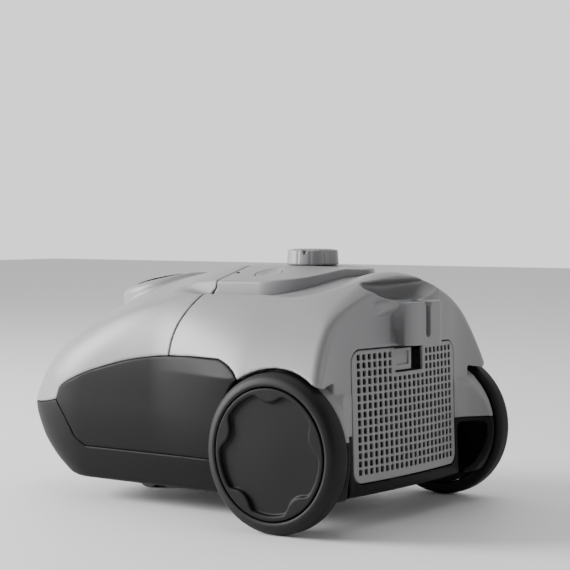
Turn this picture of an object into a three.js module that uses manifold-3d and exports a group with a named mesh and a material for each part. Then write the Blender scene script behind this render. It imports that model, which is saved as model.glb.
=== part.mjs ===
// Canister vacuum cleaner, without its hose and mains lead.
// Millimetres, +Z up, front (nose) towards -Y, rear (exhaust grille) towards +Y, the vacuum's left is +X.
// Everything is drawn around the rear wheel axle (y = 0 there) and then moved back by AXLE_Y, so that
// the part's own origin is the middle of its outline on the floor.
import * as THREE from 'three';
import { mergeVertices } from 'three/addons/utils/BufferGeometryUtils.js';
import Module from 'manifold-3d';

const wasm = await Module();
wasm.setup();

// ---------------------------------------------------------------- driving dimensions
const AXLE_Y = 145.3; // wheel axle, behind the origin
const AXLE_Z = 69; // wheel radius
const WALL = 2.6; // moulded shell thickness
const FIT = 0.35; // gap between neighbouring pieces
const SEAM = 0.9; // visible gap between shells

const BODY_FLOOR = 21; // underside of the chassis
const BODY_TOP = 232;
const BODY_HALF = 112; // widest half width, away from the wheels
const BODY_BELLY = 95; // height of the widest section
const FLARE = 30; // how far the fenders stand out over the wheels
const REAR_FACE = 46.3; // rear wall on the centre line
const REAR_LEAN = 0.029; // rear wall comes out this much per millimetre, downwards
const REAR_BOW = 0.0007; // rear wall falls away by this times x squared
const REAR_CORNER = 10; // rounding of the rear corners in plan
const NOSE_POWER = 2.5; // superellipse power of the nose in plan
const CROWN = 0.003; // top falls away by this times x squared

const WHEEL_OUTER = 149.7; // outer face of the wheels
const WHEEL_INNER = 127;
const WELL_INNER = 112; // wheel well starts here
const WELL_RADIUS = 74;
const SKIRT_RADIUS = 60.5; // round skirt behind each wheel
const SKIRT_OUTER = 125;

const LIGHT_EDGE_REAR = 81; // lower edge of the rear housing
const PANEL_FOOT = 53; // lower edge of the side panels
const DECK_HALF = 73; // control deck, half width at its foot
const DECK_REAR = 4;
const DECK_CORNER = 34;
const DECK_FRONT = -116;
const TRENCH_DEPTH = 10.5; // the housing sinks this far around the deck
const TRENCH_WIDTH = 21;

const GRILLE_HALF = 84.6;
const GRILLE_LOW = 39.4;
const GRILLE_HIGH = 154.4;
const GRILLE_THICK = 3;
const GRILLE_PITCH = 7.55;
const GRILLE_COLUMNS = 21;

const KNOB_Y = -59.4;
const KNOB_RADIUS = 24.2;
const KNOB_TOP = 240.2;
const BUTTON_X = 47;
const BUTTON_Y = -75;
const BUTTON_RADIUS = 12.6;
const BUTTON_Z = 218.5; // middle of its top
const BUTTON_TILT = 0.255; // radians, outwards

const INLET_Y = -239; // hose socket
const INLET_Z = 204.4;
const INLET_TILT = 0.24; // radians, forwards
const INLET_BORE = 20;
const REAR_RISE = 7; // the underside rises this much towards the rear

const HINGE_Y = -115.6; // lid axis, on the seam
const HINGE_Z = 225.2;

const MOTOR_Z = 86;
const REEL_Y = -35;
const REEL_RADIUS = 68;
const CASTER_Y = -262;
const CASTER_RADIUS = 14;
const CASTER_TRAIL = 8; // its wheel runs this far behind its swivel
const BRAKE_X = 83; // pivot of the reel brake
const BRAKE_Y = -78;
const SHELF_TOP = 194.5; // shelf behind the carry handle
const BOSS_LOW = 156.3; // underside of the parking bracket
const BOSS_REAR = 67.3; // its rear face
const CHAMBER_REAR = -121.6;
const CHAMBER_FLOOR = 48;
const FILTER_Z = 100;
const LAMP_Y = -110.5;
const LAMP_TOP = 218.2;
const SHELF_THICK = 4.5;
const CORD_PLACE = [106, 0, 52]; // the mains lead's outlet, in the left pocket

// ---------------------------------------------------------------- materials
const paint = (color, roughness, metalness = 0) => () =>
  new THREE.MeshStandardMaterial({ color, roughness, metalness });
const lightPlastic = paint(0x9d9da1, 0.5);
const darkPlastic = paint(0x3a3b3e, 0.5);
const blackPlastic = paint(0x1c1c1e, 0.6);
const innerPlastic = paint(0x55585c, 0.6);
const rubber = paint(0x232325, 0.85);
const steel = paint(0xb9bcc0, 0.3, 1);
const copper = paint(0xa8643a, 0.4, 1);
const whitePlastic = paint(0xd9dad6, 0.6);
const paper = paint(0xd8d2c4, 0.95);
const card = paint(0xb89468, 0.9);
const foamBlack = paint(0x303234, 1);
const boardGreen = paint(0x2f5a3a, 0.6);
const clearRed = paint(0xb43a30, 0.2);

// ---------------------------------------------------------------- solids
/** Closed solid of a three.js geometry; its triangles are turned outwards if they face in. */
function solid(geometry) {
  const bare = new THREE.BufferGeometry();
  bare.setAttribute('position', geometry.getAttribute('position').clone());
  if (geometry.index) bare.setIndex(geometry.index.clone());
  const merged = mergeVertices(bare, 1e-3);
  const points = merged.getAttribute('position').array;
  const index = merged.index.array;
  const faces = [];
  for (let i = 0; i < index.length; i += 3) {
    const [a, b, c] = [index[i], index[i + 1], index[i + 2]];
    if (a !== b && b !== c && c !== a) faces.push(a, b, c);
  }
  const build = (triangles) =>
    new wasm.Manifold(new wasm.Mesh({
      numProp: 3,
      vertProperties: new Float32Array(points),
      triVerts: new Uint32Array(triangles),
    }));
  const made = build(faces);
  return made.volume() > 0 ? made : build(faces.reverse());
}

/** The solid's triangles as a three.js geometry. */
function toGeometry(made) {
  const mesh = made.getMesh();
  const geometry = new THREE.BufferGeometry();
  geometry.setAttribute('position', new THREE.BufferAttribute(new Float32Array(mesh.vertProperties), 3));
  geometry.setIndex([...mesh.triVerts]);
  geometry.computeVertexNormals();
  return geometry;
}

const join = (...list) => list.reduce((a, b) => a.add(b));
const cut = (first, ...rest) => rest.reduce((a, b) => a.subtract(b), first);
const meet = (first, ...rest) => rest.reduce((a, b) => a.intersect(b), first);

/** Box between two opposite corners. */
function box(x0, x1, y0, y1, z0, z1) {
  const geometry = new THREE.BoxGeometry(x1 - x0, y1 - y0, z1 - z0);
  return solid(geometry.translate((x0 + x1) / 2, (y0 + y1) / 2, (z0 + z1) / 2));
}

/** Turns a geometry whose axis is +Y so that its axis is the one named. */
function aim(geometry, axis) {
  if (axis === 'x') return geometry.rotateZ(-Math.PI / 2);
  if (axis === 'z') return geometry.rotateX(Math.PI / 2);
  return geometry;
}

/** Body of revolution: profile points are [radius, distance along the axis]. */
function spin(profile, axis, centre, sides = 24) {
  const points = profile.map(([radius, along]) => new THREE.Vector2(radius, along));
  const geometry = aim(new THREE.LatheGeometry(points, sides), axis);
  return solid(geometry.translate(...centre));
}

/** Solid rod along an axis, from one distance to another. */
const rod = (radius, from, to, axis, centre, sides) =>
  spin([[0, from], [radius, from], [radius, to], [0, to]], axis, centre, sides);

/** Ring (tube) along an axis. */
const ring = (outer, inner, from, to, axis, centre, sides) =>
  spin([[inner, from], [outer, from], [outer, to], [inner, to], [inner, from]], axis, centre, sides);

/** Outline with corners rounded by the radius, as a shape in its own plane. */
function roundedRectangle(x0, x1, y0, y1, radius) {
  const shape = new THREE.Shape();
  shape.moveTo(x0 + radius, y0);
  shape.lineTo(x1 - radius, y0);
  shape.absarc(x1 - radius, y0 + radius, radius, -Math.PI / 2, 0);
  shape.lineTo(x1, y1 - radius);
  shape.absarc(x1 - radius, y1 - radius, radius, 0, Math.PI / 2);
  shape.lineTo(x0 + radius, y1);
  shape.absarc(x0 + radius, y1 - radius, radius, Math.PI / 2, Math.PI);
  shape.lineTo(x0, y0 + radius);
  shape.absarc(x0 + radius, y0 + radius, radius, Math.PI, 1.5 * Math.PI);
  return shape;
}

const polygon = (points) => new THREE.Shape(points.map(([u, v]) => new THREE.Vector2(u, v)));

/** Upright prism of a plan outline (x, y). */
function upright(shape, z0, z1, curveSegments = 4) {
  const geometry = new THREE.ExtrudeGeometry(shape, { depth: z1 - z0, bevelEnabled: false, curveSegments });
  return solid(geometry.translate(0, 0, z0));
}

/** Prism across the body of a side outline (y, z), between two x. */
function across(shape, x0, x1, curveSegments = 4) {
  const geometry = new THREE.ExtrudeGeometry(shape, { depth: x1 - x0, bevelEnabled: false, curveSegments });
  geometry.applyMatrix4(new THREE.Matrix4().set(0, 0, 1, x0, 1, 0, 0, 0, 0, 1, 0, 0, 0, 0, 0, 1));
  return solid(geometry);
}

/** Prism along the body of a front outline (x, z), between two y. */
function along(shape, y0, y1, curveSegments = 4) {
  const geometry = new THREE.ExtrudeGeometry(shape, { depth: y1 - y0, bevelEnabled: false, curveSegments });
  return solid(geometry.rotateX(Math.PI / 2).translate(0, y1, 0));
}

/** Copy of a solid placed by a matrix; a mirror image is turned outwards again by solid(). */
const placed = (made, matrix) => solid(toGeometry(made).applyMatrix4(matrix));
const mirrored = (made) => placed(made, new THREE.Matrix4().makeScale(-1, 1, 1));
const bothSides = (made) => join(made, mirrored(made));

/** Frame of the hose socket: its z axis leans forwards, its origin is in the middle of the hump's top. */
const inletFrame = new THREE.Matrix4().makeTranslation(0, INLET_Y, INLET_Z)
  .multiply(new THREE.Matrix4().makeRotationX(INLET_TILT));

/** Frame of a push button on the deck, for the left (1) or the right (-1). */
const buttonFrame = (side) => new THREE.Matrix4().makeTranslation(side * BUTTON_X, BUTTON_Y, BUTTON_Z)
  .multiply(new THREE.Matrix4().makeRotationY(side * BUTTON_TILT));

// ---------------------------------------------------------------- the body's form
/** Smooth curve through [position, value] points that never overshoots them. */
function curve(points) {
  const slopes = points.slice(1).map(([p, v], i) => (v - points[i][1]) / (p - points[i][0]));
  const tangents = points.map((_, i) => {
    const before = slopes[Math.max(i - 1, 0)];
    const after = slopes[Math.min(i, slopes.length - 1)];
    return before * after <= 0 ? 0 : (2 * before * after) / (before + after);
  });
  return (at) => {
    const p = THREE.MathUtils.clamp(at, points[0][0], points.at(-1)[0]);
    const i = Math.max(0, points.findIndex(([q]) => q >= p) - 1);
    const span = points[i + 1][0] - points[i][0];
    const t = (p - points[i][0]) / span;
    const [a, b] = [points[i][1], points[i + 1][1]];
    return (2 * t ** 3 - 3 * t ** 2 + 1) * a + (t ** 3 - 2 * t ** 2 + t) * span * tangents[i]
      + (3 * t ** 2 - 2 * t ** 3) * b + (t ** 3 - t ** 2) * span * tangents[i + 1];
  };
}

const smooth = (value, from, to) => THREE.MathUtils.smoothstep(value, from, to);

// height of the top along the centre line, by y
const spineHeight = curve([[-366, 60], [-350, 116], [-325, 146], [-292, 170], [-258, 188], [-185, 214],
  [-119, 224], [-59, 225], [0, 222.4], [28, 219.6], [45, 212], [60, 198]]);
// front of the nose, by z
const noseFront = curve([[16, -292], [40, -332], [60, -350], [88, -361], [112, -349], [140, -329],
  [170, -290], [200, -245], [232, -215]]);
// where the nose starts to round off in plan, by z
const noseRoot = curve([[60, -250], [112, -245], [140, -220], [170, -180], [190, -160], [232, -150]]);

const topHeight = (x, y) => spineHeight(y) - CROWN * x * x;

/** Half width of the side walls at (y, z), before the nose narrows them. */
function halfWidth(y, z) {
  const barrel = z < BODY_BELLY
    ? BODY_HALF - 0.0021 * (BODY_BELLY - z) ** 2
    : BODY_HALF - 17 * ((z - BODY_BELLY) / 95) ** 3.6;
  const lift = z > 130 ? Math.max(0, (200 - z) / 70) ** 0.8 : THREE.MathUtils.clamp((z - 40) / 90, 0, 1);
  return Math.max(barrel + FLARE * lift * smooth(y, -120, -45), 40);
}

/** Plan outline at height z, from the nose tip (t = 0) round one side to the rear centre (t = 1). */
function outlinePoint(t, z, inset) {
  const root = noseRoot(z);
  if (t < 0.5) {
    const angle = t * Math.PI;
    const y = root - (root - noseFront(z) - inset) * Math.cos(angle) ** (2 / NOSE_POWER);
    return [(halfWidth(y, z) - inset) * Math.sin(angle) ** (2 / NOSE_POWER), y];
  }
  const rear = REAR_FACE - inset + REAR_LEAN * (GRILLE_HIGH - z) * (z < GRILLE_HIGH ? 1 : 0);
  const corner = Math.max(REAR_CORNER - inset, 1);
  const s = (t - 0.5) * 2;
  const cornerY = rear - corner;
  const cornerX = halfWidth(cornerY, z) - inset - corner;
  const bow = (x, y) => y - REAR_BOW * x * x * smooth(y, cornerY, rear);
  if (s < 0.5) {
    const y = root + (cornerY - root) * (s / 0.5);
    return [halfWidth(y, z) - inset, y];
  }
  if (s < 0.8) {
    const angle = ((s - 0.5) / 0.3) * (Math.PI / 2);
    const x = cornerX + corner * Math.cos(angle);
    return [x, bow(x, cornerY + corner * Math.sin(angle))];
  }
  const x = cornerX * (1 - (s - 0.8) / 0.2);
  return [x, bow(x, rear)];
}

/** Everything inside the side walls, moved inwards by the inset. */
function insideWalls(inset) {
  const around = 32;
  const geometry = new THREE.CylinderGeometry(1, 1, 1, around, 6);
  const position = geometry.getAttribute('position');
  for (let i = 0; i < position.count; i++) {
    const z = BODY_FLOOR + inset + (position.getY(i) + 0.5) * (BODY_TOP - BODY_FLOOR - inset);
    const radius = Math.hypot(position.getX(i), position.getZ(i));
    const angle = Math.atan2(position.getX(i), position.getZ(i));
    const [x, y] = outlinePoint(Math.abs(angle) / Math.PI, z, inset);
    const rise = REAR_RISE * smooth(y, -20, 48) * (0.5 - position.getY(i));
    if (radius < 0.5) position.setXYZ(i, 0, -150, z);
    else position.setXYZ(i, x * Math.sign(angle), y, z + rise);
  }
  return solid(geometry);
}

/** Everything under a height field given by height(x, y). */
function below(height, x = 165, y0 = -372, y1 = 84, columns = 6, rows = 16) {
  const geometry = new THREE.BoxGeometry(2 * x, y1 - y0, 2, columns, rows, 1).translate(0, (y0 + y1) / 2, 0);
  const position = geometry.getAttribute('position');
  for (let i = 0; i < position.count; i++) {
    const raised = position.getZ(i) > 0;
    position.setZ(i, raised ? height(position.getX(i), position.getY(i)) : -5);
  }
  return solid(geometry);
}

/** Depth of the sunken band around the control deck. */
function trench(x, y) {
  const dx = Math.max(0, Math.abs(x) - (DECK_HALF - DECK_CORNER));
  const dy = Math.max(0, y - (DECK_REAR - DECK_CORNER));
  const away = Math.max(0, Math.hypot(dx, dy) - DECK_CORNER);
  const depth = TRENCH_DEPTH * (0.55 + 0.45 * smooth(Math.abs(x), 20, 70));
  return depth * Math.max(0, 1 - away / TRENCH_WIDTH) ** 1.5;
}

// side outline (y, z) of everything dark: nose, side panels, wheel arch and rear band
const darkEdge = [[-400, 88.5], [-330, 89.5], [-284, 95.5], [-280, 106], [-263, 116], [-226, 129],
  [-177, 140],
  [-139, 144], [-103, 145.2], [-70, 145.4], [-56, 141.6], [-45, 135.3], [-38, 128], [-37.9, LIGHT_EDGE_REAR],
  [100, LIGHT_EDGE_REAR]];

/** Prism of everything under the light shells, its edge lowered by the gap. */
function darkZone(lower) {
  const edge = darkEdge.map(([y, z]) => [y, z - lower]);
  return across(polygon([...edge, [100, -20], [-400, -20]]), -200, 200);
}

/** Prism in front of the seam between lid and rear housing, moved back by the gap. */
function lidZone(back) {
  const seam = [];
  for (let z = 144; z <= 197; z += 10.6) seam.push([-140 + 19 * ((z - 144) / 53) ** 2 + back, z]);
  const points = [[-140 + back, -20], ...seam, [DECK_FRONT + back, 206], [DECK_FRONT + back, 260]];
  return across(polygon([...points, [-420, 260], [-420, -20]]), -200, 200);
}

/** Both wheel wells: outside the skirts, inside the arches. */
function wheelWells() {
  const well = rod(WELL_RADIUS, WELL_INNER, 170, 'x', [0, 0, AXLE_Z], 48);
  const skirt = rod(SKIRT_RADIUS, WELL_INNER - 1, SKIRT_OUTER, 'x', [0, 0, AXLE_Z], 40);
  const side = cut(well, skirt);
  return join(side, mirrored(side));
}

const deckOutline = (grow) => roundedRectangle(-DECK_HALF - grow, DECK_HALF + grow,
  DECK_FRONT - 60, DECK_REAR + grow, DECK_CORNER + grow);

/** Hump around the hose socket: an oval boss that leans forwards. */
function hump(inset) {
  const made = spin([[0, -52], [41 - inset, -52], [41 - inset, -8 - inset], [37.5 - inset, -2 - inset],
    [30 - inset, 0.6 - inset], [0, 1 - inset]], 'z', [0, 0, 0], 24);
  const stretch = new THREE.Matrix4().makeTranslation(0, 3, 0)
    .multiply(new THREE.Matrix4().makeScale(1, 1.2, 1));
  return placed(made, new THREE.Matrix4().multiplyMatrices(inletFrame, stretch));
}

/** Disc or rod on the wheel axle's line. */
const disc = (radius, x0, x1, sides = 28) => rod(radius, x0, x1, 'x', [0, 0, AXLE_Z], sides);

const lidTop = (drop) => below((x, y) => topHeight(x, y) - drop);
const housingTop = (raise) => below((x, y) => topHeight(x, y) - trench(x, y) + raise, 165, -150, 84, 20, 13);

/** Shells of the body: everything between an outer and an inner form, with the wheel wells let in. */
function bodyShell(underOuter, underInner, boss, bossHollow) {
  const skirt = bothSides(disc(SKIRT_RADIUS, 80, SKIRT_OUTER));
  const skirtHollow = bothSides(disc(SKIRT_RADIUS - WALL, 79, SKIRT_OUTER - WALL));
  const well = bothSides(cut(disc(WELL_RADIUS, WELL_INNER, 170, 28), disc(SKIRT_RADIUS, 90, SKIRT_OUTER)));
  const wellWall = bothSides(cut(disc(WELL_RADIUS + WALL, WELL_INNER - WALL, 170, 28),
    disc(SKIRT_RADIUS - WALL, 90, SKIRT_OUTER - WALL)));
  const outer = cut(join(meet(insideWalls(0), underOuter), skirt, boss), well);
  const inner = cut(join(meet(insideWalls(WALL), underInner), skirtHollow, bossHollow), wellWall);
  return cut(outer, inner);
}

const lidShell = bodyShell(lidTop(0), lidTop(WALL), hump(0), hump(WALL));
const housingShell = bodyShell(housingTop(0), housingTop(-WALL), box(-9, 9, -90, -80, 60, 70),
  box(-12, 12, -95, -75, 55, 75));
const grilleOpening = (grow) => along(roundedRectangle(-GRILLE_HALF - grow, GRILLE_HALF + grow,
  GRILLE_LOW - grow, GRILLE_HIGH + grow, 11 + grow), 22, 70);

// ---------------------------------------------------------------- chassis, panels and shells
// side outline (y, z) of a side panel; its upper edge is the edge of the dark zone
const panelZone = (grow) => bothSides(across(polygon([[-287 - grow, 98], [-271.5 - grow, 79.5],
  [-259 - grow, 60], [-247, PANEL_FOOT - grow], [-30, PANEL_FOOT - grow], [-30, 160], [-287 - grow, 160]]),
60, 170));

/** Rear pockets beside the grille, open to the rear. */
const pocket = (grow) => bothSides(box(92 - grow, 121 + grow, 15 - grow, 90, 32 - grow, 76 + grow));

// base screws: x, y and the height of their heads' seats
const screwPlaces = [[70, -225, 25], [-70, -225, 25], [70, 12, 29], [-70, 12, 29]];

function lowerChassis() {
  const skin = meet(lidShell, darkZone(SEAM), box(-170, 170, -400, -60.2, 0, 160));
  const rearSkin = meet(housingShell, darkZone(SEAM), box(-170, 170, -60.4, 100, 0, 160));
  const pocketWalls = meet(cut(pocket(WALL), box(-200, 200, 62, 100, 0, 200)), insideWalls(0.2));
  const casterWell = rod(32.6, BODY_FLOOR + 1, 38.6, 'z', [0, CASTER_Y, 0], 20);
  const cradle = cut(join(box(-46, 46, -95, -89, 22, 66), box(-30, 30, 2.4, 7.6, 22, 70)),
    rod(58.4, -100, -80, 'y', [0, 0, MOTOR_Z], 24), rod(16.4, 0, 10, 'y', [0, 0, MOTOR_Z], 24));
  const bosses = join(...screwPlaces.map(([x, y, seat]) => rod(6.5, -2.5, 14, 'z', [x, y, seat], 10)));
  const holes = join(...screwPlaces.map(([x, y, seat]) => join(rod(4.2, -15, 0.4, 'z', [x, y, seat], 10),
    rod(2.2, 0, 25, 'z', [x, y, seat], 8))));
  return cut(join(skin, rearSkin, pocketWalls, casterWell, cradle, bosses), panelZone(FIT), pocket(0), holes,
    rod(30, 0, 36, 'z', [0, CASTER_Y, 0], 20), rod(4.3, 30, 45, 'z', [0, CASTER_Y, 0], 16),
    grilleOpening(SEAM), bothSides(disc(6.4, 80, 140, 20)),
    rod(8.4, 0, 30, 'y', CORD_PLACE, 20));
}

function sidePanel() {
  return cut(meet(lidShell, darkZone(SEAM), panelZone(0), box(60, 170, -400, -20, 0, 160)),
    disc(WELL_RADIUS + FIT, 90, 170, 28));
}

function bagLid() {
  const opening = box(-22, 22, -380, -330, 98, 112);
  const socketHole = placed(rod(24, -20, 20, 'z', [0, 0, 0], 24), inletFrame);
  const arm = (x) => meet(ring(20, 16, x - 3, x + 3, 'x', [0, HINGE_Y, HINGE_Z], 24),
    across(polygon([[HINGE_Y, HINGE_Z], [HINGE_Y - 40, HINGE_Z - 28], [HINGE_Y - 40, HINGE_Z - 60],
      [HINGE_Y + 35, HINGE_Z - 60]]), x - 5, x + 5));
  const light = cut(meet(lidShell, lidZone(0)), darkZone(0));
  return cut(join(light, arm(53), arm(-53)), opening, socketHole);
}

/** Push latch in the lid's nose, flush with its skin. */
const lidLatch = () => meet(cut(insideWalls(0), insideWalls(3)), box(-21.5, 21.5, -380, -320, 98.5, 111.5));

// plan outlines of the shelf behind the handle and of the finger scoop in front of it
const oval = (centreY, halfX, halfY, grow = 0) => {
  const shape = new THREE.Shape();
  shape.absellipse(0, centreY, halfX + grow, halfY + grow, 0, 2 * Math.PI);
  return shape;
};
const scoop = (grow) => meet(upright(oval(40, 62, 24, grow), 180, 240, 8), across(polygon([
  [80, SHELF_TOP - grow], [41, SHELF_TOP - grow], [21 - grow, 196 - grow], [16 - grow, 203],
  [20 - grow, 209 + grow],
  [33, 212.5 + grow], [37 + 2 * grow, 214.5], [40 + 2 * grow, 240], [80, 240]]), -80, 80));

/** Recess under the shelf, around the parking bracket; it widens upwards. */
const parkingRecess = along(polygon([[-31, 150], [31, 150], [43, SHELF_TOP - SHELF_THICK],
  [-43, SHELF_TOP - SHELF_THICK]]), 40, 80);

function rearHousing() {
  const shelf = upright(oval(36, 64, 21.5), SHELF_TOP - SHELF_THICK, SHELF_TOP, 8);
  const deckFloor = meet(upright(deckOutline(-0.4), 194.4, 240), housingTop(0),
    box(-90, 90, -112, 20, 190, 240));
  const recessFloor = box(-45.6, 45.6, 37.4, 40, GRILLE_HIGH + SEAM, SHELF_TOP - 2);
  const scoopWall = meet(scoop(WALL), housingTop(-0.01), insideWalls(0.01));
  const light = cut(cut(housingShell, lidZone(SEAM)), darkZone(0));
  return cut(join(light, join(shelf, deckFloor, recessFloor, scoopWall)), scoop(0),
    upright(deckOutline(-WALL), 197, 240),
    parkingRecess, box(-28.4, 28.4, 40, 80, 150, 200),
    grilleOpening(SEAM), bothSides(disc(6.4, 80, 140, 20)),
    rod(5, 180, 240, 'z', [0, KNOB_Y, 0], 16), pocket(FIT));
}

function parkingBracket() {
  const side = across(polygon([[40.4, BOSS_LOW], [BOSS_REAR, BOSS_LOW], [BOSS_REAR - 0.6, SHELF_TOP],
    [40.4, SHELF_TOP]]), -28, 28);
  const plan = upright(roundedRectangle(-28, 28, 20, BOSS_REAR, 10), 150, 200, 4);
  const slot = join(box(-2.7, 2.7, 45, 80, 166.7, 200), rod(2.7, 45, 80, 'y', [0, 0, 166.7], 16));
  return cut(meet(side, plan), slot);
}

function controlDeck() {
  const body = cut(meet(upright(deckOutline(0), 190, 240), lidTop(0)), lidZone(SEAM));
  const hollow = meet(upright(deckOutline(-WALL), 180, 240), lidTop(WALL));
  const bore = (side) => placed(rod(BUTTON_RADIUS + 0.5, -20, 20, 'z', [0, 0, 0], 24), buttonFrame(side));
  return cut(body, hollow, housingTop(FIT), bore(1), bore(-1), rod(4.6, 180, 240, 'z', [0, KNOB_Y, 0], 20),
    rod(2.2, 180, 240, 'z', [BUTTON_X, LAMP_Y, 0], 12));
}

function exhaustGrille() {
  const stations = [-90, -60, -30, 0, 30, 60, 90];
  const bow = (drop) => stations.map((x) => [x, REAR_FACE - REAR_BOW * x * x - drop]);
  const lean = new THREE.Matrix4().set(1, 0, 0, 0, 0, 1, -REAR_LEAN, REAR_LEAN * GRILLE_HIGH,
    0, 0, 1, 0, 0, 0, 0, 1);
  const plate = placed(upright(polygon([...bow(GRILLE_THICK), ...bow(0).reverse()]), 30, 165), lean);
  const slots = Array.from({ length: GRILLE_COLUMNS }, (_, k) => {
    const x = (k - (GRILLE_COLUMNS - 1) / 2) * GRILLE_PITCH;
    return box(x - 2.1, x + 2.1, 20, 80, 44, Math.abs(x) < 28 ? 126.5 : 148);
  });
  const tab = (x) => box(x - 6, x + 6, 41, 44.6, 36, 42.5);
  const notch = box(-23, 23, 20, 80, 132, 170);
  return join(cut(meet(plate, grilleOpening(0)), notch, ...slots), tab(50), tab(-50));
}

const grilleLatch = () => cut(box(-7, 21.5, 40.5, 44, 133.6, 152.6), box(-3, 17.5, 42.4, 50, 138, 150));

// ---------------------------------------------------------------- bag chamber
/** Everything under the rim of the bag chamber, which rises towards the rear. */
const underRim = (raise) => across(polygon([[-400, 78 + raise], [-100, 197 + raise], [-100, -20],
    [-400, -20]]),
  -200, 200);
const rearOf = (y) => box(-200, 200, y, 200, -50, 300);

function bagChamber() {
  const outer = meet(insideWalls(12), underRim(0), box(-200, 200, -400, CHAMBER_REAR, CHAMBER_FLOOR, 300));
  const inner = meet(insideWalls(14.2), box(-200, 200, -400, CHAMBER_REAR - 2.2, CHAMBER_FLOOR + 2.2, 300));
  return cut(outer, inner, rod(42, -140, -110, 'y', [0, 0, FILTER_Z], 32));
}

const lidSeal = () => cut(meet(insideWalls(9.5), underRim(3.4)), underRim(0.4), rearOf(CHAMBER_REAR + 1.5),
  cut(insideWalls(14.6), rearOf(CHAMBER_REAR - 2.8)));

const hoseSocket = () => placed(join(ring(27, INLET_BORE, 1.35, 3.4, 'z', [0, 0, 0], 24),
  ring(23.6, INLET_BORE, -26, 1.5, 'z', [0, 0, 0], 24)), inletFrame);
const inletSeal = () => placed(ring(27, 21, -31, -26.4, 'z', [0, 0, 0], 24), inletFrame);
const bagHolder = () => placed(cut(solid(new THREE.BoxGeometry(96, 64, 2.6).translate(0, 2, -32.8)),
  rod(23, -40, -20, 'z', [0, 0, 0], 24)), inletFrame);
const bagCollar = () => placed(cut(solid(new THREE.BoxGeometry(88, 60, 2.4).translate(0, 2, -35.8)),
  rod(22, -40, -20, 'z', [0, 0, 0], 24)), inletFrame);

/** Filled dust bag: a soft block that fills the chamber under its collar. */
function dustBag() {
  const block = upright(roundedRectangle(-74, 74, -312, -128, 34), CHAMBER_FLOOR + 3, 158);
  const roof = across(polygon([[-330, 118], [-250, 158], [-120, 158], [-120, 20], [-330, 20]]), -100, 100);
  return meet(block, roof);
}

// ---------------------------------------------------------------- filters, motor and fan
const filterFrame = () => cut(box(-52, 52, -119.5, -106.5, FILTER_Z - 50, FILTER_Z + 50),
  box(-48, 48, -118, -100, FILTER_Z - 46, FILTER_Z + 46),
  box(-44, 44, -130, -100, FILTER_Z - 42, FILTER_Z + 42));
const filterFoam = () => box(-47.6, 47.6, -117.6, -108, FILTER_Z - 45.6, FILTER_Z + 45.6);

const onMotor = (profile, sides) => spin(profile, 'y', [0, 0, MOTOR_Z], sides);

const fanShroud = () => onMotor([[18, -104], [50, -104], [54, -100], [54, -66], [51.6, -66], [51.6, -99],
  [49, -101.6], [18, -101.6], [18, -104]], 24);
const impeller = () => onMotor([[4.4, -98], [9, -98], [12, -90], [24, -86], [47, -84], [47, -81.5],
  [4.4, -81.5], [4.4, -98]], 24);
const motorShaft = () => rod(4, -100, 11, 'y', [0, 0, MOTOR_Z], 16);
const armature = () => onMotor([[4.4, -56], [14, -56], [14, -50], [27, -50], [27, -14], [16, -14], [16, -4],
  [4.4, -4], [4.4, -56]], 18);

function statorCan() {
  const can = onMotor([[5, -64], [48, -64], [48, -61.6], [43, -61.6], [43, 2], [5, 2], [5, -0.4],
    [40.6, -0.4],
    [40.6, -61.6], [5, -61.6], [5, -64]], 20);
  const vent = (angle, y0, y1) => rod(9, y0, y1, 'y',
    [29 * Math.cos(angle), 0, MOTOR_Z + 29 * Math.sin(angle)], 6);
  const vents = [0, 1, 2].map((k) => vent((k * 2 * Math.PI) / 3, -70, 10));
  return cut(can, ...vents);
}
const frontMount = () => ring(58, 54.4, -94.5, -89.5, 'y', [0, 0, MOTOR_Z], 24);
const rearMount = () => ring(16, 8, 2.4, 7.4, 'y', [0, 0, MOTOR_Z], 20);

const exhaustFrame = () => cut(box(-78, 78, 23, 36, 46, 149), box(-73, 73, 10, 50, 51, 144));

/** Pleated paper: an accordion of straight folds. */
function exhaustPaper() {
  const folds = 16;
  const edge = (y) => Array.from({ length: folds + 1 },
    (_, k) => [-72 + (144 * k) / folds, y + (k % 2 ? 7 : 0)]);
  return upright(polygon([...edge(25), ...edge(26.2).reverse()]), 51.5, 143.5);
}

// ---------------------------------------------------------------- cord reel
const onReel = (profile, sides) => spin(profile, 'z', [0, REEL_Y, 0], sides);
const reelDrum = () => onReel([[5.4, 152], [REEL_RADIUS, 152], [REEL_RADIUS, 154], [30, 154], [30, 180],
  [REEL_RADIUS, 180], [REEL_RADIUS, 182], [5.4, 182], [5.4, 152]], 28);
const reelAxle = () => join(rod(5, 146.4, 183.4, 'z', [0, REEL_Y, 0], 16),
  box(-84, 84, REEL_Y - 20, REEL_Y + 20, 143.6, 146.6));
const springCase = () => onReel([[0, 184.4], [30, 184.4], [30, 190.6], [27, 192.6], [0, 192.6]], 20);
const brakeLever = () => join(rod(5, 164, 170, 'z', [BRAKE_X, BRAKE_Y, 0], 16),
  upright(polygon([[BRAKE_X - 3, BRAKE_Y], [BRAKE_X + 3, BRAKE_Y], [78, -16], [72.4, -16]]), 164, 170),
  rod(2, 155, 164.5, 'z', [75.2, -18.2, 0], 12));
const brakeRoller = () => ring(6.2, 2.4, 155.2, 163.6, 'z', [75.2, -18.2, 0], 20);
const cordOutlet = () => join(ring(8, 4.5, 12.6, 22, 'y', CORD_PLACE, 20),
  ring(11, 4.5, 15.4, 18, 'y', CORD_PLACE, 20));

// ---------------------------------------------------------------- controls
const pushButton = (side) => placed(spin([[0, -14], [3.4, -14], [3.4, -4], [BUTTON_RADIUS, -4],
  [BUTTON_RADIUS, 0], [BUTTON_RADIUS - 2, 0], [0, -1.2]], 'z', [0, 0, 0], 24), buttonFrame(side));

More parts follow.
